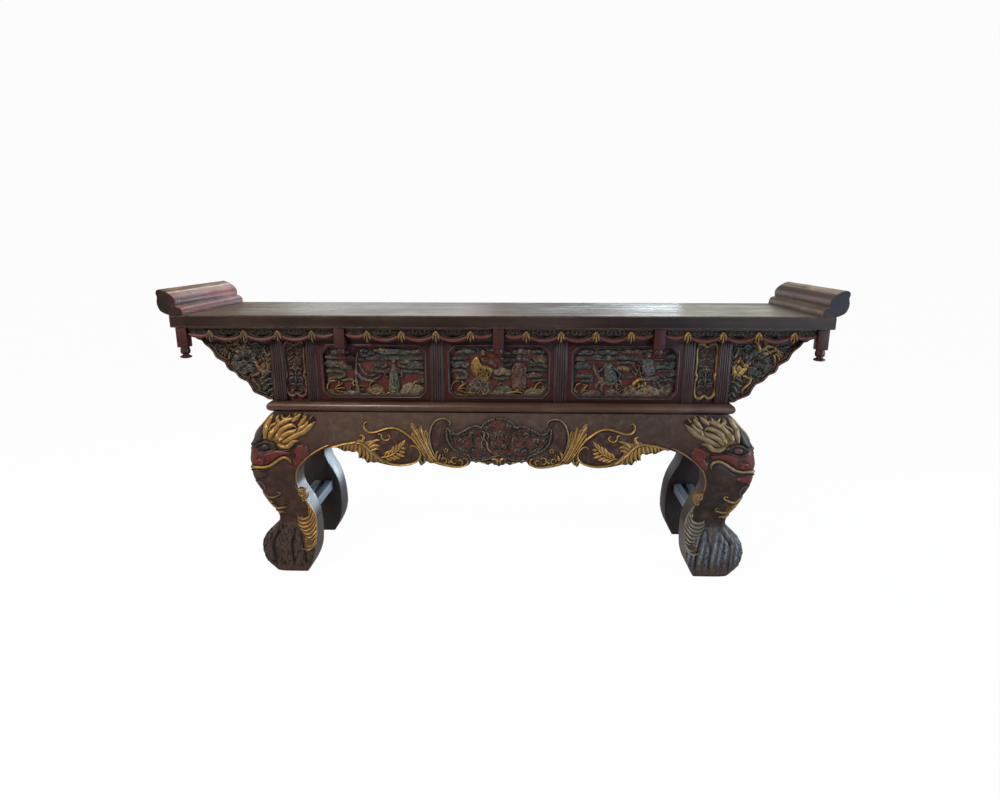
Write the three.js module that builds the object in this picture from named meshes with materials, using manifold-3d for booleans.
// Altar table of carved, lacquered and gilded wood.
// A long top board with scrolled ends rests on a panelled frieze box, a half-round waist moulding,
// carved aprons and four bowed legs; the two front legs carry beast masks and clawed feet.
// Millimetres, +Z up. The front faces -Y, and +X is to the right of someone facing the front.
// The origin is on the floor, under the middle of the table.

import * as THREE from 'three';
import { mergeVertices } from 'three/addons/utils/BufferGeometryUtils.js';
import Module from 'manifold-3d';

const wasm = await Module();
wasm.setup();

// Driving dimensions of the whole table
const legHeight = 660;
const waistHeight = 38;
const friezeHeight = 284;
const topThick = 46;
const topLength = 2400;
const topDepth = 520;
const glueLine = 0.3;

// Driving dimensions of the top and its scrolled ends
const scrollRise = 92;
const scrollWidth = 91;
const scrollOverhang = 39;
const scrollHousing = 4;
const topEdgeRound = 3;
const battenWidth = 60;
const battenThick = 30;
const battenReach = 400;

// Driving dimensions of the frieze
const friezeSetback = 45;
const friezeHalfLength = 856;
const railHeight = 52;
const frameThick = 30;
const outerStileWidth = 48;
const innerStileWidth = 42;
const middleStileWidth = 52;
const narrowPanelWidth = 84;
const centrePanelHalf = 205;
const reedCount = 5;
const boardThick = 12;
const panelTongue = 6;
const panelRim = 18;
const panelFrameRecess = 2;
const panelBead = 5;
const panelChamfer = 26;
const narrowRim = 8;
const boardRecess = 14;

// Driving dimensions of the hanging posts and the swagged valance
const postWidth = 38;
const postInset = 5;
const postLength = 74;
const postReach = 1166;
const postStub = 12;
const dropLength = 42;
const dropRadius = 16;
const dropDowel = 6;
const valanceDepth = 53;
const valanceThick = 12;
const valanceStrip = 9;
const valanceSetback = 10;
const swagStart = 12;
const swagSag = 26;
const swagBand = 11;
const swagsPerBay = 3;
const knotDrop = 20;
const knotHalf = 6;
const openingRim = 2;

// Driving dimensions of the wings beside the frieze
const wingReach = 281;
const wingTip = 46;
const wingThick = 26;
const wingSetback = 4;
const rearWingThick = 22;

// Driving dimensions of the waist moulding
const waistProjection = 25;
const waistWidth = 70;

// Driving dimensions of the legs
const kneeReach = 968;
const ankleReach = 879;
const hollowReach = 793;
const calfReach = 730;
const shoulderReach = 650;
const archTop = 519;
const legDepth = 104;
const legSetback = 25;
const kneeSwell = 16;
const ankleDraw = 6;
const pawSwell = 18;
const cornerRound = 26;
const innerRound = 7;
const backRound = 4;
const toeCount = 4;
const toeDepth = 9;
const toeTop = 175;
const legTenonLength = 40;
const legTenonThick = 24;
const legTenonHeight = 22;

// Driving dimensions of the aprons
const apronThick = 30;
const apronSetback = 28;
const apronDrop = 215;
const apronTongue = 12;
const apronTongueThick = 12;
const apronTongueHeight = 90;
const sideApronDrop = 150;
const sideApronArch = 46;
const cartoucheHalf = 198;
const cartoucheRise = 9;
const cartoucheRim = 7;
const cartoucheGround = 3;

// Driving dimensions of the side stretchers
const stretcherTop = 245;
const stretcherHeight = 38;
const stretcherWidth = 30;
const stretcherReach = 777;
const stretcherPitch = 50;
const stretcherTenon = 22;
const tenonShoulder = 6;

// Levels and planes that neighbouring pieces share
const waistTop = legHeight + waistHeight;
const topUnderside = waistTop + friezeHeight;
const topFace = topUnderside + topThick;
const topFront = -topDepth / 2;
const friezeFront = topFront + friezeSetback;
const frameTop = topUnderside - railHeight;
const legFront = topFront + legSetback;
const apronFront = topFront + apronSetback;
const legBack = legFront + legDepth;
const innerStileInner = friezeHalfLength - outerStileWidth - narrowPanelWidth - innerStileWidth;
const middleStileOuter = centrePanelHalf + middleStileWidth;

// Steps that set how finely curves are cut into facets
const arcSteps = 3;
const swagSteps = 6;
const holeSteps = 7;
const eyeSteps = 8;
const carvedLevels = 36;
const plainLevels = 20;
const carvedSteps = 12;
const plainSteps = 3;
const turnSteps = 12;
const weld = 1e-4;

// Finishes
const finish = (color, roughness, metalness = 0) =>
  new THREE.MeshStandardMaterial({ color, roughness, metalness });
const darkLacquer = finish(0x3a2620, 0.5);
const topLacquer = finish(0x51423a, 0.35);
const redLacquer = finish(0x712b26, 0.5);
const carvedGreen = finish(0x3d4440, 0.6);
const gilt = finish(0xb98432, 0.4, 0.6);
const bareWood = finish(0x6f6258, 0.8);

const table = new THREE.Group();

function addPiece(parent, name, geometry, material, x = 0, y = 0, z = 0) {
  const piece = new THREE.Mesh(geometry, material);
  piece.name = name;
  piece.position.set(x, y, z);
  parent.add(piece);
  return piece;
}

// Joining and cutting of closed solids

function toSolid(geometry) {
  const bare = geometry.clone();
  bare.deleteAttribute('normal');
  bare.deleteAttribute('uv');
  const merged = mergeVertices(bare, weld);
  return new wasm.Manifold(new wasm.Mesh({
    numProp: 3,
    vertProperties: merged.attributes.position.array,
    triVerts: new Uint32Array(merged.index.array),
  }));
}

function toGeometry(solid) {
  const mesh = solid.getMesh();
  const geometry = new THREE.BufferGeometry();
  geometry.setAttribute('position', new THREE.BufferAttribute(mesh.vertProperties, 3));
  geometry.setIndex(new THREE.BufferAttribute(mesh.triVerts, 1));
  geometry.computeVertexNormals();
  return geometry;
}

function joined(first, ...others) {
  return toGeometry(others.reduce((whole, next) => whole.add(toSolid(next)), toSolid(first)));
}

function cut(first, ...tools) {
  return toGeometry(tools.reduce((rest, next) => rest.subtract(toSolid(next)), toSolid(first)));
}

// A block centred on x and y, standing on z = 0
function block(width, depth, height) {
  return new THREE.BoxGeometry(width, depth, height).translate(0, 0, height / 2);
}

// A block between two corners
function blockBetween(x0, x1, y0, y1, z0, z1) {
  return block(x1 - x0, y1 - y0, z1 - z0).translate((x0 + x1) / 2, (y0 + y1) / 2, z0);
}

// An upright board: the outline is drawn in x and z, its front face lies at y = 0
function uprightBoard(outline, thick) {
  const settings = { depth: thick, bevelEnabled: false, curveSegments: arcSteps };
  return new THREE.ExtrudeGeometry(outline, settings).rotateX(Math.PI / 2).translate(0, thick, 0);
}

// A post of constant section: the outline is drawn in x and y and rises from z = 0
function uprightPost(outline, height) {
  const settings = { depth: height, bevelEnabled: false, curveSegments: arcSteps };
  return new THREE.ExtrudeGeometry(outline, settings);
}

// A closed outline through the given points, made smooth between its corners
function outlineThrough(...runs) {
  const outline = new THREE.Shape();
  runs.forEach((run, index) => {
    const points = run.map(([x, z]) => new THREE.Vector2(x, z));
    if (index === 0) outline.moveTo(points[0].x, points[0].y);
    if (points.length > 2) outline.splineThru(points.slice(1));
    else points.slice(index === 0 ? 1 : 0).forEach((point) => outline.lineTo(point.x, point.y));
  });
  return outline;
}

function polygon(points) {
  return new THREE.Shape(points.map(([x, z]) => new THREE.Vector2(x, z)));
}

// An opening through a board, along the given points
function openPath(points) {
  return new THREE.Path(points.map(([x, z]) => new THREE.Vector2(x, z)));
}

// The same closed outline moved inwards by a constant distance, with its sharp tips kept short
function insetOutline(points, by) {
  const turn = Math.sign(THREE.ShapeUtils.area(points.map(([x, z]) => new THREE.Vector2(x, z))));
  const inward = (from, to) => {
    const edge = new THREE.Vector2(to[0] - from[0], to[1] - from[1]).normalize();
    return new THREE.Vector2(-edge.y * turn, edge.x * turn);
  };
  return points.map((point, index) => {
    const before = inward(points[(index + points.length - 1) % points.length], point);
    const after = inward(point, points[(index + 1) % points.length]);
    const middle = before.clone().add(after).normalize();
    const reach = by / Math.max(middle.dot(before), Math.SQRT1_2);
    return [point[0] + middle.x * reach, point[1] + middle.y * reach];
  });
}

// Value of a smooth line through [place, value] pairs that are sorted by place
function smoothValue(pairs, place) {
  const last = pairs.length - 1;
  if (place <= pairs[0][0]) return pairs[0][1];
  if (place >= pairs[last][0]) return pairs[last][1];
  let at = 0;
  while (pairs[at + 1][0] < place) at += 1;
  const [x0, y0] = pairs[at];
  const [x1, y1] = pairs[at + 1];
  const [xa, ya] = pairs[Math.max(at - 1, 0)];
  const [xb, yb] = pairs[Math.min(at + 2, last)];
  const span = x1 - x0;
  const t = (place - x0) / span;
  const slope0 = ((y1 - ya) / (x1 - xa)) * span;
  const slope1 = ((yb - y0) / (xb - x0)) * span;
  const t2 = t * t;
  const t3 = t2 * t;
  return (2 * t3 - 3 * t2 + 1) * y0 + (t3 - 2 * t2 + t) * slope0
    + (3 * t2 - 2 * t3) * y1 + (t3 - t2) * slope1;
}

// Top board: one thick plank with softened long edges, notched below for the hanging posts and
// housed above at each end for the scrolled ends
function topBoard(posts) {
  const half = topDepth / 2;
  const edge = topEdgeRound;
  const section = polygon([
    [-half + edge, 0], [half - edge, 0], [half, edge], [half, topThick - edge],
    [half - edge, topThick], [-half + edge, topThick], [-half, topThick - edge], [-half, edge],
  ]);
  const plank = new THREE.ExtrudeGeometry(section, { depth: topLength, bevelEnabled: false });
  plank.rotateX(Math.PI / 2).rotateZ(Math.PI / 2).translate(-topLength / 2, 0, 0);
  const side = postWidth / 2 + glueLine;
  const y = topFront + postInset + postWidth / 2;
  const sockets = posts.map((x) => block(side, side, postStub + glueLine).translate(x, y, -glueLine));
  const inner = scrollFoot - glueLine;
  const outer = topLength / 2 + glueLine;
  const reach = half + glueLine;
  const housings = [[-outer, -inner], [inner, outer]].map(([x0, x1]) =>
    blockBetween(x0, x1, -reach, reach, topThick - scrollHousing, topThick + glueLine));
  return cut(plank, ...sockets, ...housings);
}
const scrollFoot = topLength / 2 + scrollOverhang - scrollWidth;

// Scrolled end: shares of the scroll's width, outwards from its inner foot, and of its rise
const scrollLowerRollShares = [[0, 0], [0.01, 0.14], [0.08, 0.27], [0.26, 0.34]];
const scrollUpperRollShares = [[0.24, 0.5], [0.3, 0.68], [0.5, 0.86], [0.72, 0.97]];
const scrollLipShares = [[0.85, 1], [0.96, 0.95], [1, 0.84], [0.965, 0.7]];
const scrollLobeShares = [[1, 0.52], [0.98, 0.33], [0.88, 0.14], [0.66, 0.02], [0.57, 0]];

function scrollEnd(side) {
  const place = ([across, up]) => [side * (across - 1) * scrollWidth, up * scrollRise];
  const rolls = [...scrollUpperRollShares, ...scrollLipShares, ...scrollLobeShares].map(place);
  const lower = scrollLowerRollShares.map(place);
  const innerFoot = [lower[0][0], -scrollHousing];
  const outerFoot = [rolls[rolls.length - 1][0], -scrollHousing];
  const upperRun = [lower[lower.length - 1], ...rolls];
  return uprightBoard(outlineThrough([innerFoot, lower[0]], lower, upperRun, [outerFoot]), topDepth);
}

// Hanging posts: square blocks under the top board, each with a turned lotus drop
function hangingPost() {
  const shaft = block(postWidth, postWidth, postLength - glueLine);
  const stub = block(postWidth / 2, postWidth / 2, postStub).translate(0, 0, postLength - 2 * glueLine);
  const dowel = new THREE.CylinderGeometry(dropDowel, dropDowel, 2 * dropDowel, turnSteps);
  return cut(joined(shaft, stub), dowel.rotateX(Math.PI / 2));
}

// Shares of the drop's radius and length, from its petal lip up to its dowel
const dropShares = [
  [0, 0], [0.55, 0.01], [0.6, 0.08], [1, 0.16], [0.92, 0.24], [0.55, 0.36],
  [0.62, 0.46], [0.82, 0.62], [0.84, 0.78], [0.66, 0.92], [0.6, 1],
];

function lotusDrop() {
  const pinRadius = dropDowel - 2 * glueLine;
  const profile = dropShares.map(([r, h]) => new THREE.Vector2(r * dropRadius, h * dropLength));
  profile.push(new THREE.Vector2(pinRadius, dropLength));
  profile.push(new THREE.Vector2(pinRadius, dropLength + dropDowel - glueLine));
  profile.push(new THREE.Vector2(0, dropLength + dropDowel - glueLine));
  return new THREE.LatheGeometry(profile, turnSteps).rotateX(Math.PI / 2);
}

// Valance between two posts: a short swag, whole swags and a short swag, looped from knot to knot
// under a thin strip, with two openings above each swag
function valance(width) {
  const pitch = (width / (swagsPerBay + 1)) * wholeSwagShare;
  const first = (width - swagsPerBay * pitch) / 2;
  const knots = [...Array(swagsPerBay + 1).keys()].map((index) => first + index * pitch);
  const ends = [0, ...knots, width];
  const hangAt = valanceDepth - swagStart;
  const swagLine = (from, to, t) => {
    const whole = to - from > pitch * wholeSwagShare;
    return hangAt - (whole ? swagSag : swagSag / 2) * 4 * t * (1 - t);
  };
  const points = [[0, valanceDepth]];
  const holes = [];
  ends.slice(1).forEach((to, index) => {
    const from = ends[index];
    const start = from > 0 ? knotHalf / (to - from) : 0;
    const end = to < width ? 1 - knotHalf / (to - from) : 1;
    for (let step = 0; step <= swagSteps; step += 1) {
      const t = start + (end - start) * (step / swagSteps);
      points.push([from + (to - from) * t, swagLine(from, to, t) - swagBand]);
    }
    if (to < width) points.push([to, hangAt - swagBand - knotDrop]);
    const ceiling = valanceDepth - valanceStrip;
    [0.5 - openingShare, 0.5 + openingShare].forEach((middle) => {
      const away = Math.sign(middle - 0.5);
      const place = (t) => from + (to - from) * t;
      const low = (t) => swagLine(from, to, t) + openingRim;
      const near = 0.5 + away * openingNearShare;
      const far = 0.5 + away * openingFarShare;
      holes.push([[place(near), ceiling], [place(near), low(near)], [place(middle), low(middle)],
        [place(far), Math.min(low(far), ceiling - openingRim)], [place(far), ceiling]]);
    });
  });
  points.push([width, valanceDepth]);
  const outline = polygon(points);
  holes.forEach((hole) => outline.holes.push(openPath(hole)));
  return uprightBoard(outline, valanceThick).translate(-width / 2, 0, 0);
}
const wholeSwagShare = 0.93;
const openingShare = 0.2;
const openingNearShare = 0.05;
const openingFarShare = 0.34;

// Fluted stile: a row of half-round reeds between two flat edges, with a tenon for the rail above
function flutedStile(width) {
  const height = frameTop - waistTop - 2 * glueLine;
  const reed = width / (reedCount + 1);
  const outline = new THREE.Shape();
  const half = width / 2;
  outline.moveTo(-half, frameThick);
  outline.lineTo(-half, 0);
  for (let index = 0; index < reedCount; index += 1) {
    const centre = (index - (reedCount - 1) / 2) * reed;
    outline.absarc(centre, 0, reed / 2, Math.PI, 2 * Math.PI, false);
  }
  outline.lineTo(half, 0);
  outline.lineTo(half, frameThick);
  const shaft = uprightPost(outline, height);
  const tenon = block(width / 2, frameThick / 3, legTenonHeight / 2 + glueLine);
  return joined(shaft, tenon.translate(0, frameThick / 2, height - glueLine));
}

function topRail(stiles, reach) {
  const rail = blockBetween(-reach, reach, 0, frameThick, 0, railHeight - glueLine);
  const mortises = stiles.map(([x, width]) =>
    block(width / 2 + 2 * glueLine, frameThick / 3 + 2 * glueLine, legTenonHeight / 2 + 2 * glueLine)
      .translate(x, frameThick / 2, -glueLine));
  return cut(rail, ...mortises);
}

// An oblong with cut corners
function cutCornered(halfWidth, bottom, top, chamfer) {
  return [
    [-halfWidth + chamfer, bottom], [halfWidth - chamfer, bottom], [halfWidth, bottom + chamfer],
    [halfWidth, top - chamfer], [halfWidth - chamfer, top], [-halfWidth + chamfer, top],
    [-halfWidth, top - chamfer], [-halfWidth, bottom + chamfer],
  ];
}

// Frame round a carved board: a flat lacquered border and a raised bead with cut corners
function panelFrame(width) {
  const halfWidth = width / 2 - glueLine;
  const height = frameTop - waistTop - 2 * glueLine;
  const depth = frameThick - panelFrameRecess;
  const outer = polygon([[-halfWidth, 0], [halfWidth, 0], [halfWidth, height], [-halfWidth, height]]);
  const sight = cutCornered(halfWidth - panelRim - panelBead, panelRim + panelBead,
    height - panelRim - panelBead, panelChamfer);
  outer.holes.push(openPath(sight));
  const bead = polygon(cutCornered(halfWidth - panelRim, panelRim, height - panelRim, panelChamfer));
  bead.holes.push(openPath(sight));
  const border = uprightBoard(outer, depth);
  const rebate = blockBetween(-halfWidth + panelTongue, halfWidth - panelTongue,
    boardRecess, depth + glueLine, panelTongue, height - panelTongue);
  return joined(cut(border, rebate), uprightBoard(bead, panelBead).translate(0, -panelBead / 2, 0));
}

// Carved board behind its frame: cloud ribbons and rocks stand up from the ground
const cloudShares = [
  [-0.32, 0.68, 0.26], [0.02, 0.76, 0.22], [0.33, 0.66, 0.24], [-0.18, 0.5, 0.2], [0.2, 0.48, 0.22],
];
const rockShares = [[-0.34, 0.2, 0.2], [0.3, 0.2, 0.24], [0, 0.16, 0.18]];

function carvedBoard(width) {
  const halfWidth = width / 2 - panelTongue - 2 * glueLine;
  const height = frameTop - waistTop - 2 * panelTongue - 4 * glueLine;
  const sightHalf = halfWidth - panelRim - panelBead;
  const relief = boardRecess - 2 * panelBead + panelFrameRecess;
  const ground = blockBetween(-halfWidth, halfWidth, 0, boardThick, 0, height);
  const place = (across, up, points) => polygon(points.map(([u, v]) =>
    [across * 2 * sightHalf + u * sightHalf, up * height + v * sightHalf]));
  const raise = (outline) => uprightBoard(outline, relief + glueLine).translate(0, -relief, 0);
  const clouds = cloudShares.map(([across, up, size]) => raise(place(across, up, [
    [-size, 0], [-size / 2, -size / 5], [0, 0], [size / 2, -size / 5], [size, 0],
    [size / 2, size / 5], [0, size / 3], [-size / 2, size / 5],
  ])));
  const rocks = rockShares.map(([across, up, size]) => raise(place(across, up, [
    [-size, -size / 2], [size, -size / 2], [size / 2, size / 3], [0, size / 2], [-size / 2, size / 4],
  ])));
  return joined(ground, ...clouds, ...rocks);
}

// Narrow pierced panel: a round-ended raised rim, with paired openings above and below a blossom
const narrowRoundShare = 0.7;
const eyeSizeShare = 0.22;
const eyeOutShare = 0.38;
const eyeUpShares = [0.14, 0.34, 0.66, 0.86];

function narrowPanel() {
  const halfWidth = narrowPanelWidth / 2 - glueLine;
  const height = frameTop - waistTop - 2 * glueLine;
  const outline = polygon([[-halfWidth, 0], [halfWidth, 0], [halfWidth, height], [-halfWidth, height]]);
  const rimHalf = halfWidth - panelTongue;
  const rimRound = rimHalf * narrowRoundShare;
  const ring = (inset) => {
    const half = rimHalf - inset;
    const low = panelTongue + inset;
    const high = height - panelTongue - inset;
    const round = rimRound - inset / 2;
    const path = new THREE.Shape();
    path.moveTo(-half + round, low);
    path.lineTo(half - round, low);
    path.absarc(half - round, low + round, round, -Math.PI / 2, 0, false);
    path.absarc(half - round, high - round, round, 0, Math.PI / 2, false);
    path.absarc(-half + round, high - round, round, Math.PI / 2, Math.PI, false);
    path.absarc(-half + round, low + round, round, Math.PI, 1.5 * Math.PI, false);
    return path;
  };
  const rim = ring(0);
  rim.holes.push(ring(narrowRim));
  const openings = [];
  const eye = halfWidth * eyeSizeShare;
  eyeUpShares.forEach((up) => [-1, 1].forEach((side) => {
    const hole = new THREE.CylinderGeometry(eye, eye, 2 * frameThick, eyeSteps).scale(1, 1, 2);
    openings.push(hole.translate(side * halfWidth * eyeOutShare, 0, up * height));
  }));
  const board = uprightBoard(outline, boardThick);
  const raised = uprightBoard(rim, 2 * panelBead).translate(0, -panelBead, 0);
  return cut(joined(board, raised), ...openings);
}

// Wing beside the frieze: shares of its reach outwards and of its height, stepping up and outwards
const wingEdgeShares = [
  [0, 0], [0.1, 0.02], [0.16, 0.13], [0.24, 0.17], [0.31, 0.28], [0.35, 0.34], [0.46, 0.38],
  [0.5, 0.46], [0.62, 0.54], [0.66, 0.6], [0.77, 0.68], [0.8, 0.77], [0.89, 0.84], [0.92, 0.92], [1, 1],
];
const wingHoleShares = [
  [0.12, 0.3, 0.05], [0.1, 0.52, 0.05], [0.12, 0.74, 0.05], [0.27, 0.44, 0.045], [0.25, 0.9, 0.04],
  [0.28, 0.62, 0.04], [0.48, 0.62, 0.045], [0.45, 0.86, 0.045], [0.62, 0.76, 0.045], [0.68, 0.93, 0.035],
];

function wingOutline(side) {
  const height = friezeHeight - 2 * glueLine;
  const edge = wingEdgeShares.map(([out, up]) => [side * out * wingReach, up * (height - wingTip)]);
  return [...edge, [side * wingReach, height], [0, height]];
}

const wingHoleSquashShare = 0.7;
const wingHoleTurn = Math.PI / 5;

function roundHole(x, z, across, up, turn) {
  return new THREE.Path([...Array(holeSteps).keys()].map((index) => {
    const angle = (index / holeSteps) * 2 * Math.PI;
    const u = across * Math.cos(angle);
    const v = up * Math.sin(angle);
    const place = new THREE.Vector2(u, v).rotateAround(new THREE.Vector2(), turn);
    return place.add(new THREE.Vector2(x, z));
  }));
}

function wing(side) {
  const shape = polygon(wingOutline(side));
  wingHoleShares.forEach(([out, up, size]) => {
    const radius = size * wingReach;
    shape.holes.push(roundHole(side * out * wingReach, up * (friezeHeight - wingTip), radius,
      radius * wingHoleSquashShare, side * wingHoleTurn));
  });
  return uprightBoard(shape, wingThick);
}

// Waist moulding: a half-round front on a flat rail, mitred at the four corners
function waistSection() {
  const outline = new THREE.Shape();
  const round = waistHeight / 2;
  outline.moveTo(waistWidth, 0);
  outline.lineTo(waistWidth, waistHeight);
  outline.lineTo(round, waistHeight);
  outline.absarc(round, round, round, Math.PI / 2, 1.5 * Math.PI, false);
  return outline;
}

function waistRail(length) {
  const rail = new THREE.ExtrudeGeometry(waistSection(), {
    depth: length, bevelEnabled: false, curveSegments: 2 * arcSteps,
  });
  rail.rotateX(Math.PI / 2).rotateZ(Math.PI / 2).translate(-length / 2, 0, 0);
  const place = rail.attributes.position;
  for (let index = 0; index < place.count; index += 1) {
    const end = Math.sign(place.getX(index));
    place.setX(index, end * (length / 2 - place.getY(index) - glueLine));
  }
  return rail;
}

// Legs: shares of the leg's height, and of the way from the ankle out to the knee
const legOuterShares = [
  [0, 0.33], [0.053, 0.65], [0.11, 0.81], [0.174, 0.83], [0.21, 0.74], [0.26, 0.36], [0.3, 0.06],
  [0.33, 0], [0.38, 0.11], [0.432, 0.33], [0.524, 0.7], [0.574, 0.9], [0.65, 1], [0.724, 0.98],
  [0.8, 0.88], [0.871, 0.66], [0.932, 0.29], [1, -0.19],
];
// Shares of the arch's height, and of the way from the calf out to the hollow of the knee
const legInnerShares = [
  [0, 0.6], [0.054, 0.35], [0.145, 0.08], [0.227, 0], [0.37, 0], [0.443, 0.06], [0.497, 0.19],
  [0.574, 0.49], [0.628, 0.76], [0.686, 0.97], [0.751, 1], [0.827, 0.84], [0.89, 0.44], [0.954, -0.28],
];
// Shares of the leg's height, and of the forward swell at the paw, the ankle and the knee
const pawSwellShares = [[0, 0.6], [0.06, 0.95], [0.14, 1], [0.24, 0.5], [0.33, 0]];
const kneeSwellShares = [[0.36, 0], [0.5, 0.5], [0.62, 0.9], [0.72, 1], [0.86, 0.7], [1, 0]];
const ankleShare = 0.34;
const ankleSpreadShare = 0.07;

function outerReach(z) {
  return ankleReach + smoothValue(legOuterShares, z / legHeight) * (kneeReach - ankleReach);
}

function innerReach(z) {
  if (z >= archTop) return shoulderReach;
  const end = [1, (shoulderReach - calfReach) / (hollowReach - calfReach)];
  return calfReach + smoothValue([...legInnerShares, end], z / archTop) * (hollowReach - calfReach);
}

function frontSwell(z) {
  const paw = smoothValue(pawSwellShares, z / legHeight) * pawSwell;
  const knee = smoothValue(kneeSwellShares, z / legHeight) * kneeSwell;
  const ankle = (z / legHeight - ankleShare) / ankleSpreadShare;
  return Math.max(paw, 0) + Math.max(knee, 0) - ankleDraw * Math.exp(-ankle * ankle);
}

// Mask forms: distance in from the outer corner and spread across, as shares of the knee's width,
// height and spread up, as shares of the leg's height, and relief, as a share of the knee's swell
const maskShares = {
  nose: { across: 0.126, up: 0.739, wide: 0.171, tall: 0.039, relief: 0.56 },
  nostril: { across: 0.297, up: 0.724, wide: 0.091, tall: 0.024, relief: 0.31 },
  eye: { across: 0.354, up: 0.8, wide: 0.171, tall: 0.021, relief: 0.56 },
  brow: { across: 0.549, up: 0.848, wide: 0.297, tall: 0.027, relief: 0.5 },
  forehead: { across: 0.103, up: 0.848, wide: 0.126, tall: 0.052, relief: 0.38 },
  cheek: { across: 0.903, up: 0.742, wide: 0.194, tall: 0.052, relief: 0.56 },
  lip: { across: 0.354, up: 0.676, wide: 0.354, tall: 0.018, relief: 0.44 },
  chin: { across: 0.149, up: 0.618, wide: 0.171, tall: 0.036, relief: 0.31 },
};
const maskTopShare = 0.91;

function maskRelief(across, z) {
  const kneeWidth = kneeReach - hollowReach;
  const fade = Math.min(Math.max((1 - z / legHeight) / (1 - maskTopShare), 0), 1);
  return Object.values(maskShares).reduce((sum, form) => {
    const u = (Math.abs(across) / kneeWidth - form.across) / form.wide;
    const v = (z / legHeight - form.up) / form.tall;
    return sum + fade * form.relief * kneeSwell * Math.exp(-u * u - v * v);
  }, 0);
}

// Rounded toes side by side, fading out above the paw
function toeRelief(share, z) {
  const fade = Math.min(Math.max(1 - z / toeTop, 0), 1);
  return -toeDepth * fade * (1 - Math.abs(Math.sin(Math.PI * toeCount * share))) ** 2;
}

// Points round a horizontal cut through a leg: place, outward direction and distance from the corner
function legRing(z, side, carved) {
  const outer = outerReach(z);
  const inner = innerReach(z);
  const front = -frontSwell(z);
  const back = legDepth;
  const frontSteps = carved ? carvedSteps : plainSteps;
  const sideSteps = carved ? plainSteps + 1 : plainSteps - 1;
  const points = [];
  const run = (x0, y0, x1, y1, nx, ny, steps, acrossStart, acrossEnd, first) => {
    for (let step = first; step <= steps; step += 1) {
      const t = step / steps;
      points.push({
        x: x0 + (x1 - x0) * t, y: y0 + (y1 - y0) * t, nx, ny,
        across: acrossStart + (acrossEnd - acrossStart) * t,
      });
    }
  };
  const bend = cornerRound * Math.SQRT1_2;
  const ease = cornerRound - bend;
  const width = outer - inner;
  run(inner + innerRound, front, outer - cornerRound, front, 0, -1, frontSteps, width - innerRound,
    cornerRound, 0);
  points.push({
    x: outer - ease, y: front + ease, nx: Math.SQRT1_2, ny: -Math.SQRT1_2, across: 0,
  });
  run(outer, front + cornerRound, outer, back - backRound, 1, 0, sideSteps, -cornerRound,
    front - back, 0);
  points.push({ x: outer - backRound, y: back, nx: 0, ny: 0, across: -back });
  points.push({ x: inner + backRound, y: back, nx: 0, ny: 0, across: -back });
  points.push({ x: inner, y: back - backRound, nx: 0, ny: 0, across: -back });
  points.push({ x: inner, y: front + innerRound, nx: 0, ny: 0, across: width });
  const ring = points.map((point) => {
    if (!carved) return [side * point.x, point.y];
    const share = (point.x - inner) / width;
    const fade = Math.min(Math.max((legDepth + point.across) / cornerRound, 0), 1);
    const mask = point.across > 0 ? maskRelief(point.across, z) : maskRelief(point.across, z) * fade;
    const toes = point.ny < 0 ? toeRelief(share, z) : 0;
    const relief = mask + toes;
    return [side * (point.x + point.nx * relief), point.y + point.ny * relief];
  });
  return side > 0 ? ring : ring.reverse();
}

// A closed solid through rings of points at rising heights
function loft(levels, ringAt) {
  const rings = levels.map((z) => ringAt(z).map(([x, y]) => [x, y, z]));
  const count = rings[0].length;
  const vertices = rings.flat();
  const middle = (ring) => [0, 1, 2].map((axis) =>
    ring.reduce((sum, point) => sum + point[axis] / count, 0));
  const bottomAt = vertices.push(middle(rings[0])) - 1;
  const topAt = vertices.push(middle(rings[rings.length - 1])) - 1;
  const faces = [];
  for (let index = 0; index < count; index += 1) {
    const next = (index + 1) % count;
    for (let level = 0; level < rings.length - 1; level += 1) {
      const low = level * count;
      const high = low + count;
      faces.push(low + index, low + next, high + next, low + index, high + next, high + index);
    }
    const last = (rings.length - 1) * count;
    faces.push(bottomAt, next, index, topAt, last + index, last + next);
  }
  const geometry = new THREE.BufferGeometry();
  geometry.setAttribute('position', new THREE.Float32BufferAttribute(vertices.flat(), 3));
  geometry.setIndex(faces);
  return geometry;
}

function legLevels(steps) {
  const top = legHeight - glueLine;
  const even = [...Array(steps + 1).keys()].map((index) => (index / steps) * top);
  const apart = top / steps / 3;
  return [...even.filter((z) => Math.abs(z - archTop) > apart), archTop].sort((a, b) => a - b);
}

// Places where a leg is cut for its neighbours, in the leg's own frame
function legMortises(side) {
  const depth = stretcherTenon + 2 * glueLine;
  const half = stretcherWidth / 2 - tenonShoulder + glueLine;
  const stretchers = stretcherPlaces.map((x) =>
    blockBetween(-half, half, legDepth - depth, legDepth + depth,
      stretcherTop - stretcherHeight + tenonShoulder - glueLine, stretcherTop - tenonShoulder + glueLine)
      .translate(side * x, 0, 0));
  const tongueTop = legHeight - apronTongueHeight / 4;
  const apronSlot = blockBetween(-apronTongue - glueLine, apronTongue + glueLine,
    apronTongueFront - glueLine, apronTongueFront + apronTongueThick + glueLine,
    tongueTop - apronTongueHeight - glueLine, tongueTop + glueLine).translate(side * shoulderReach, 0, 0);
  const sideSlot = blockBetween(sideApronPlace - apronTongueThick / 2 - glueLine,
    sideApronPlace + apronTongueThick / 2 + glueLine, legDepth - apronTongue - glueLine,
    legDepth + apronTongue, tongueTop - apronTongueHeight - glueLine, tongueTop + glueLine);
  if (side < 0) sideSlot.rotateZ(Math.PI).translate(0, 2 * legDepth - glueLine, 0);
  return [...stretchers, apronSlot, sideSlot];
}
const stretcherPlaces = [stretcherReach, stretcherReach + stretcherPitch];
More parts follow.
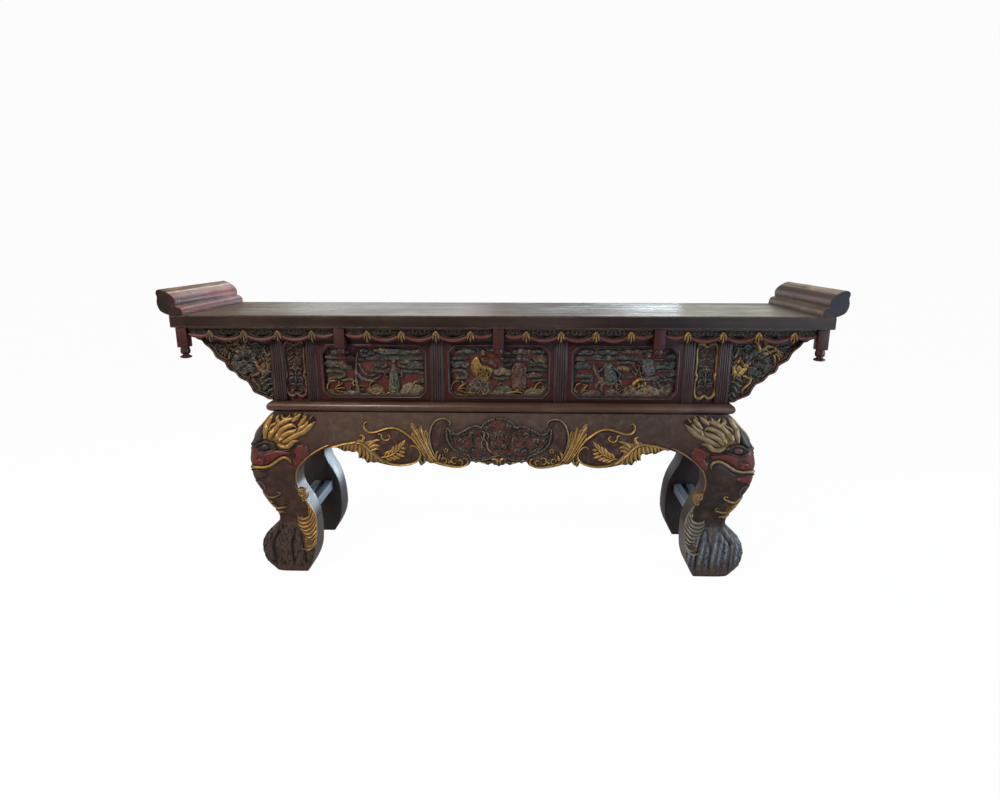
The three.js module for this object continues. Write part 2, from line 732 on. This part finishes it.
const apronTongueFront = apronFront - legFront + (apronThick - apronTongueThick) / 2;
const shoulderOuter = outerReach(legHeight);
const sideApronPlace = shoulderOuter - apronThick / 2 - topEdgeRound;

function leg(side, carved) {
  const body = loft(legLevels(carved ? carvedLevels : plainLevels), (z) => legRing(z, side, carved));
  const reach = (shoulderReach + shoulderOuter) / 2;
  const tenon = block(legTenonLength, legTenonThick, legTenonHeight + glueLine)
    .translate(side * reach, legTenonPlace, legHeight - 2 * glueLine);
  return cut(joined(body, tenon), ...legMortises(side));
}
const legTenonPlace = friezeFront - waistProjection - legFront + waistWidth / 2 + legTenonThick / 4;

// Front apron: shares of the half length and of the drop, from the leg towards the middle
const apronArchShares = [[1, 0.656], [0.94, 0.665], [0.915, 0.7], [0.87, 0.72], [0.83, 0.72]];
const apronLeafShares = [[0.82, 0.795], [0.79, 0.86], [0.776, 0.94]];
const apronScallopShares = [
  [0.69, 0.955], [0.577, 0.98], [0.477, 0.885], [0.466, 0.985], [0.45, 0.93], [0.363, 0.945], [0.288, 1],
  [0.192, 0.995], [0.158, 0.875], [0.117, 0.885], [0.068, 0.97], [0.015, 0.92], [0, 0.97],
];
// Raised cartouche: shares of its half width and of the apron's drop, from its top middle to its tip
// and back to its bottom middle
const cartoucheTopShares = [
  [0, 0.12], [0.21, 0.16], [0.31, 0.235], [0.51, 0.245], [0.66, 0.32], [0.79, 0.385], [0.9, 0.36], [1, 0.27],
];
const cartoucheLowShares = [
  [0.96, 0.535], [0.85, 0.65], [0.72, 0.745], [0.59, 0.79], [0.52, 0.85], [0.38, 0.87], [0.27, 0.845],
  [0.11, 0.79], [0, 0.74],
];

function frontApron() {
  const half = shoulderReach - glueLine;
  const base = legHeight - glueLine;
  const edge = [...apronArchShares, ...apronLeafShares, ...apronScallopShares]
    .map(([across, down]) => [across * half, legHeight - down * apronDrop]);
  const right = edge.slice(0, -1).reverse();
  const left = edge.map(([x, z]) => [-x, z]);
  const board = uprightBoard(polygon([[-half, base], ...left, ...right, [half, base]]), apronThick);
  const rim = [...cartoucheTopShares, ...cartoucheLowShares]
    .map(([across, down]) => [across * cartoucheHalf, legHeight - down * apronDrop]);
  const mirrored = rim.filter(([x]) => x > 0).reverse().map(([x, z]) => [-x, z]);
  const ringPoints = [...rim, ...mirrored];
  const plaque = uprightBoard(polygon(ringPoints), cartoucheRise + glueLine);
  const recess = uprightBoard(polygon(insetOutline(ringPoints, cartoucheRim)), cartoucheRise);
  const raisedRim = cut(plaque, recess.translate(0, -glueLine, 0)).translate(0, -cartoucheRise, 0);
  const inside = polygon(insetOutline(ringPoints, cartoucheRim / 2));
  const ground = uprightBoard(inside, cartoucheGround + glueLine).translate(0, -cartoucheGround, 0);
  const tongueTop = legHeight - apronTongueHeight / 4;
  const tongues = [-1, 1].map((side) => {
    const y0 = (apronThick - apronTongueThick) / 2;
    const x0 = side * (half - apronTongue);
    const x1 = side * (half + apronTongue - glueLine);
    return blockBetween(Math.min(x0, x1), Math.max(x0, x1), y0, y0 + apronTongueThick,
      tongueTop - apronTongueHeight, tongueTop);
  });
  return joined(board, raisedRim, ground, ...tongues);
}

// Plain apron between two legs, arched below, with a tongue at each end
const archOuterShare = 0.8;
const archInnerShare = 0.6;

function plainApron(half, drop, arch) {
  const shape = new THREE.Shape();
  const base = legHeight - glueLine;
  shape.moveTo(-half, base);
  shape.lineTo(-half, legHeight - drop);
  const crown = legHeight - drop + arch;
  shape.bezierCurveTo(-half * archOuterShare, crown, -half * archInnerShare, crown, 0, crown);
  shape.bezierCurveTo(half * archInnerShare, crown, half * archOuterShare, crown, half, legHeight - drop);
  shape.lineTo(half, base);
  const tongueTop = legHeight - apronTongueHeight / 4;
  const y0 = (apronThick - apronTongueThick) / 2;
  const tongue = blockBetween(-half - apronTongue + glueLine, half + apronTongue - glueLine, y0,
    y0 + apronTongueThick, tongueTop - apronTongueHeight, tongueTop);
  return joined(uprightBoard(shape, apronThick), tongue);
}

// Side stretcher with a shouldered tenon at each end
function stretcher() {
  const span = 2 * (Math.abs(legBack) - glueLine);
  const rail = block(stretcherWidth, span, stretcherHeight);
  const tenon = block(stretcherWidth - 2 * tenonShoulder, span + 2 * stretcherTenon,
    stretcherHeight - 2 * tenonShoulder).translate(0, 0, tenonShoulder);
  return joined(rail, tenon);
}

// Putting the table together, from the floor upwards

const sides = [['left', -1], ['right', 1]];

const base = new THREE.Group();
table.add(base);
sides.forEach(([word, side]) => {
  addPiece(base, `front_leg_${word}`, leg(side, true), darkLacquer, 0, legFront, 0);
  const rear = leg(-side, false).rotateZ(Math.PI);
  addPiece(base, `rear_leg_${word}`, rear, darkLacquer, 0, -legFront, 0);
  stretcherPlaces.forEach((x, index) => {
    const z = stretcherTop - stretcherHeight;
    addPiece(base, `side_stretcher_${word}_${index + 1}`, stretcher(), bareWood, side * x, 0, z);
  });
  const gapHalf = -legBack - glueLine;
  const sideApron = plainApron(gapHalf, sideApronDrop, sideApronArch);
  sideApron.translate(0, -apronThick / 2, 0).rotateZ(side * Math.PI / 2);
  addPiece(base, `side_apron_${word}`, sideApron, darkLacquer, side * sideApronPlace, 0, 0);
});
addPiece(base, 'front_apron', frontApron(), darkLacquer, 0, apronFront, 0);
const rearApron = plainApron(shoulderReach - glueLine, sideApronDrop, sideApronArch / 2);
addPiece(base, 'rear_apron', rearApron.rotateZ(Math.PI), darkLacquer, 0, -apronFront, 0);

const waist = new THREE.Group();
waist.position.z = legHeight;
table.add(waist);
const waistHalfLength = friezeHalfLength + waistProjection;
const waistHalfDepth = -friezeFront + waistProjection;
const tenonReach = (shoulderReach + shoulderOuter) / 2;
const waistSockets = sides.map(([, side]) =>
  block(legTenonLength + 2 * glueLine, legTenonThick + 2 * glueLine, legTenonHeight + 2 * glueLine)
    .translate(side * tenonReach, legTenonPlace + legFront + waistHalfDepth, -glueLine));
const longRail = cut(waistRail(2 * waistHalfLength), ...waistSockets);
const shortRail = waistRail(2 * waistHalfDepth);
addPiece(waist, 'waist_front', longRail, darkLacquer, 0, -waistHalfDepth, 0);
addPiece(waist, 'waist_rear', longRail.clone().rotateZ(Math.PI), darkLacquer, 0, waistHalfDepth, 0);
addPiece(waist, 'waist_left', shortRail.clone().rotateZ(-Math.PI / 2), darkLacquer, -waistHalfLength, 0, 0);
addPiece(waist, 'waist_right', shortRail.clone().rotateZ(Math.PI / 2), darkLacquer, waistHalfLength, 0, 0);

const frieze = new THREE.Group();
frieze.position.z = waistTop;
table.add(frieze);
const stileRows = [
  ['outer', friezeHalfLength - outerStileWidth / 2, outerStileWidth],
  ['inner', innerStileInner + innerStileWidth / 2, innerStileWidth],
  ['middle', centrePanelHalf + middleStileWidth / 2, middleStileWidth],
];
const stilePlaces = stileRows.flatMap(([, x, width]) => [[-x, width], [x, width]]);
const railZ = frameTop - waistTop;
const frontRail = topRail(stilePlaces, friezeHalfLength);
addPiece(frieze, 'front_top_rail', frontRail, darkLacquer, 0, friezeFront, railZ);
sides.forEach(([word, side]) => {
  stileRows.forEach(([kind, x, width]) => {
    const stile = flutedStile(width);
    addPiece(frieze, `${kind}_stile_${word}`, stile, darkLacquer, side * x, friezeFront, glueLine);
  });
  const narrowX = innerStileInner + innerStileWidth + narrowPanelWidth / 2;
  addPiece(frieze, `narrow_panel_${word}`, narrowPanel(), carvedGreen, side * narrowX,
    friezeFront + boardThick, glueLine);
});
const wideWidth = innerStileInner - middleStileOuter;
const wideCentre = (innerStileInner + middleStileOuter) / 2;
const wideRows = [
  ['left', -wideCentre, wideWidth], ['centre', 0, 2 * centrePanelHalf], ['right', wideCentre, wideWidth],
];
wideRows.forEach(([word, x, width]) => {
  addPiece(frieze, `panel_frame_${word}`, panelFrame(width), redLacquer, x,
    friezeFront + panelFrameRecess, glueLine);
  addPiece(frieze, `carved_board_${word}`, carvedBoard(width), carvedGreen, x,
    friezeFront + panelFrameRecess + boardRecess + glueLine, panelTongue + 2 * glueLine);
});

// Plain back and ends of the frieze box
const rearStile = outerStileWidth;
const rearRows = [-1, 1].map((side) => [side * (friezeHalfLength - rearStile / 2), rearStile]);
const rearRail = topRail(rearRows, friezeHalfLength).rotateZ(Math.PI);
addPiece(frieze, 'rear_top_rail', rearRail, darkLacquer, 0, -friezeFront, railZ);
sides.forEach(([word, side]) => {
  const height = railZ - 2 * glueLine;
  const post = block(rearStile, frameThick, height);
  const tenon = block(rearStile / 2, frameThick / 3, legTenonHeight / 2 + glueLine)
    .translate(0, 0, height - glueLine);
  addPiece(frieze, `rear_stile_${word}`, joined(post, tenon), darkLacquer,
    side * (friezeHalfLength - rearStile / 2), -friezeFront - frameThick / 2, glueLine);
  const boardDepth = 2 * (-friezeFront - frameThick - glueLine);
  const endBoard = block(boardThick, boardDepth, friezeHeight - 2 * glueLine);
  addPiece(frieze, `end_board_${word}`, endBoard, darkLacquer,
    side * (friezeHalfLength - boardThick), 0, glueLine);
});
const backHalf = friezeHalfLength - rearStile - glueLine;
const backBoard = blockBetween(-backHalf, backHalf, 0, boardThick, 0, railZ - 2 * glueLine);
addPiece(frieze, 'back_board', backBoard, bareWood, 0, -friezeFront - frameThick, glueLine);

// Wings and rear brackets that carry the long overhang
sides.forEach(([word, side]) => {
  const x = side * (friezeHalfLength + glueLine);
  addPiece(frieze, `wing_${word}`, wing(side), carvedGreen, x, friezeFront + wingSetback, glueLine);
  const bracket = uprightBoard(polygon(wingOutline(side)), rearWingThick);
  const y = -friezeFront - rearWingThick - wingSetback;
  addPiece(frieze, `rear_bracket_${word}`, bracket, darkLacquer, x, y, glueLine);
});

// Hanging posts, lotus drops and valances under the front edge
const postPlaces = [-1, -0.5, 0, 0.5, 1].map((share) => share * postReach);
const bayWidth = postReach / 2 - postWidth - 2 * glueLine;
const postY = topFront + postInset + postWidth / 2;
postPlaces.forEach((x, index) => {
  const z = topUnderside - postLength;
  addPiece(table, `hanging_post_${index + 1}`, hangingPost(), redLacquer, x, postY, z);
  addPiece(table, `lotus_drop_${index + 1}`, lotusDrop(), redLacquer, x, postY, z - dropLength - glueLine);
  if (index > 0) {
    const middle = (x + postPlaces[index - 1]) / 2;
    addPiece(table, `valance_${index}`, valance(bayWidth), gilt, middle,
      topFront + postInset + valanceSetback, topUnderside - valanceDepth - glueLine);
  }
});

// Top board, the battens under it and its scrolled ends
addPiece(table, 'top_board', topBoard(postPlaces), topLacquer, 0, 0, topUnderside);
sides.forEach(([word, side]) => {
  const span = 2 * (-friezeFront - frameThick - glueLine);
  const batten = block(battenWidth, span, battenThick);
  addPiece(table, `top_batten_${word}`, batten, bareWood, side * battenReach, 0,
    topUnderside - battenThick - glueLine);
  addPiece(table, `scroll_end_${word}`, scrollEnd(side), redLacquer,
    side * (topLength / 2 + scrollOverhang), topFront, topFace + glueLine);
});

export default table;
